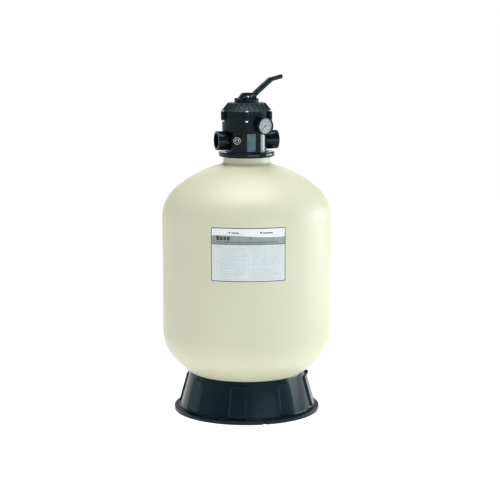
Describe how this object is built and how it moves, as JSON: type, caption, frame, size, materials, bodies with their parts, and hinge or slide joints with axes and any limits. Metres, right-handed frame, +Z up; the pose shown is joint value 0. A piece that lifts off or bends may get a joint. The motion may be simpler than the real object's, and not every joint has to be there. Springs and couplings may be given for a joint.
{
  "type": "sand filter tank",
  "caption": "Domed pressure tank on a skirt base, with a top-mounted lever-turned multiport valve, side port sockets, pressure gauge, sight glass and drain.",
  "frame": {"origin": "on the floor, on the tank's vertical axis, at the centre of the base's foot", "axes": "+Z up along the tank's axis; -Y is the front, with the data label; +X is to the right as seen from the front"},
  "size_m": [0.5716, 0.5722, 1.1393],
  "materials": {
    "ivory_shell": "satin",
    "black_moulding": "gloss",
    "gauge_black": "gloss",
    "label_film": "satin",
    "grey_pipe": "satin",
    "white_acetal": "satin",
    "dial_white": "matte",
    "needle_black": "satin",
    "clear_polymer": "gloss",
    "rubber_seal": "matte",
    "stainless_steel": "satin",
    "brass": "satin",
    "silica_sand": "matte"
  },
  "bodies": {
    "root": {"base_skirt": "black_moulding", "clamp_band": "black_moulding", "clamp_bolt": "stainless_steel", "clamp_nut": "stainless_steel", "data_label": "label_film", "diffuser": "grey_pipe", "drain_screen": "grey_pipe", "drain_spigot": "black_moulding", "flange_o_ring": "rubber_seal", "gauge_bourdon_tube": "brass", "gauge_case": "gauge_black", "gauge_dial": "dial_white", "gauge_lens": "clear_polymer", "gauge_stem": "brass", "lateral_1": "grey_pipe", "lateral_2": "grey_pipe", "lateral_3": "grey_pipe", "lateral_4": "grey_pipe", "lateral_5": "grey_pipe", "lateral_6": "grey_pipe", "lateral_7": "grey_pipe", "lateral_8": "grey_pipe", "lateral_hub": "grey_pipe", "lid_nut_1": "stainless_steel", "lid_nut_2": "stainless_steel", "lid_nut_3": "stainless_steel", "lid_nut_4": "stainless_steel", "lid_nut_5": "stainless_steel", "lid_nut_6": "stainless_steel", "lid_o_ring": "rubber_seal", "lid_screw_1": "stainless_steel", "lid_screw_2": "stainless_steel", "lid_screw_3": "stainless_steel", "lid_screw_4": "stainless_steel", "lid_screw_5": "stainless_steel", "lid_screw_6": "stainless_steel", "sand_bed": "silica_sand", "sight_glass": "clear_polymer", "sight_glass_seal": "rubber_seal", "spider_gasket": "rubber_seal", "standpipe": "grey_pipe", "tank_shell": "ivory_shell", "valve_body": "black_moulding", "valve_lid": "black_moulding"},
    "selector": {"thrust_washer": "stainless_steel", "slip_washer": "white_acetal", "diverter_spring": "stainless_steel"},
    "diverter": {"diverter": "white_acetal", "stem_o_ring_lower": "rubber_seal", "stem_o_ring_upper": "rubber_seal", "handle_pin": "stainless_steel"},
    "handle": {"handle": "black_moulding"},
    "gauge_needle": {"gauge_needle": "needle_black"},
    "drain_seal": {"drain_gasket": "rubber_seal"},
    "drain_cap": {"drain_cap": "black_moulding"}
  },
  "joints": [
    {"name": "selector_turn", "type": "hinge", "parent": "root", "child": "selector", "pos_m": [0, 0, 1], "axis": [0, 0, 1], "continuous": true},
    {"name": "diverter_lift", "type": "slide", "parent": "selector", "child": "diverter", "axis": [0, 0, 1], "range_m": [0, 0.008], "stiffness_N_per_m": 3000, "springref_m": -0.02, "deforming": ["diverter_spring"]},
    {"name": "handle_press", "type": "hinge", "parent": "diverter", "child": "handle", "pos_m": [0, 0, 1.066], "axis": [-0.3256, 0.9455, 0], "range_deg": [0, 27.01]},
    {"name": "gauge_needle_turn", "type": "hinge", "parent": "root", "child": "gauge_needle", "pos_m": [0.06187, -0.09527, 0.973], "axis": [-0.5446, 0.8387, 0], "range_deg": [0, 270], "stiffness_Nm_per_rad": 0.0005, "springref_deg": -11.46},
    {"name": "drain_cap_travel", "type": "slide", "parent": "root", "child": "drain_seal", "axis": [0.9203, 0.113, -0.3746], "range_m": [0, 0.012]},
    {"name": "drain_cap_turn", "type": "hinge", "parent": "drain_seal", "child": "drain_cap", "pos_m": [0.19851, 0.02437, 0.114], "axis": [0.9203, 0.113, -0.3746], "range_deg": [0, 1441]}
  ],
  "couplings": [
    {"joint": "handle_press", "follows": "diverter_lift", "rad_per_m": 58.905},
    {"joint": "drain_cap_turn", "follows": "drain_cap_travel", "rad_per_m": 2094.4}
  ]
}
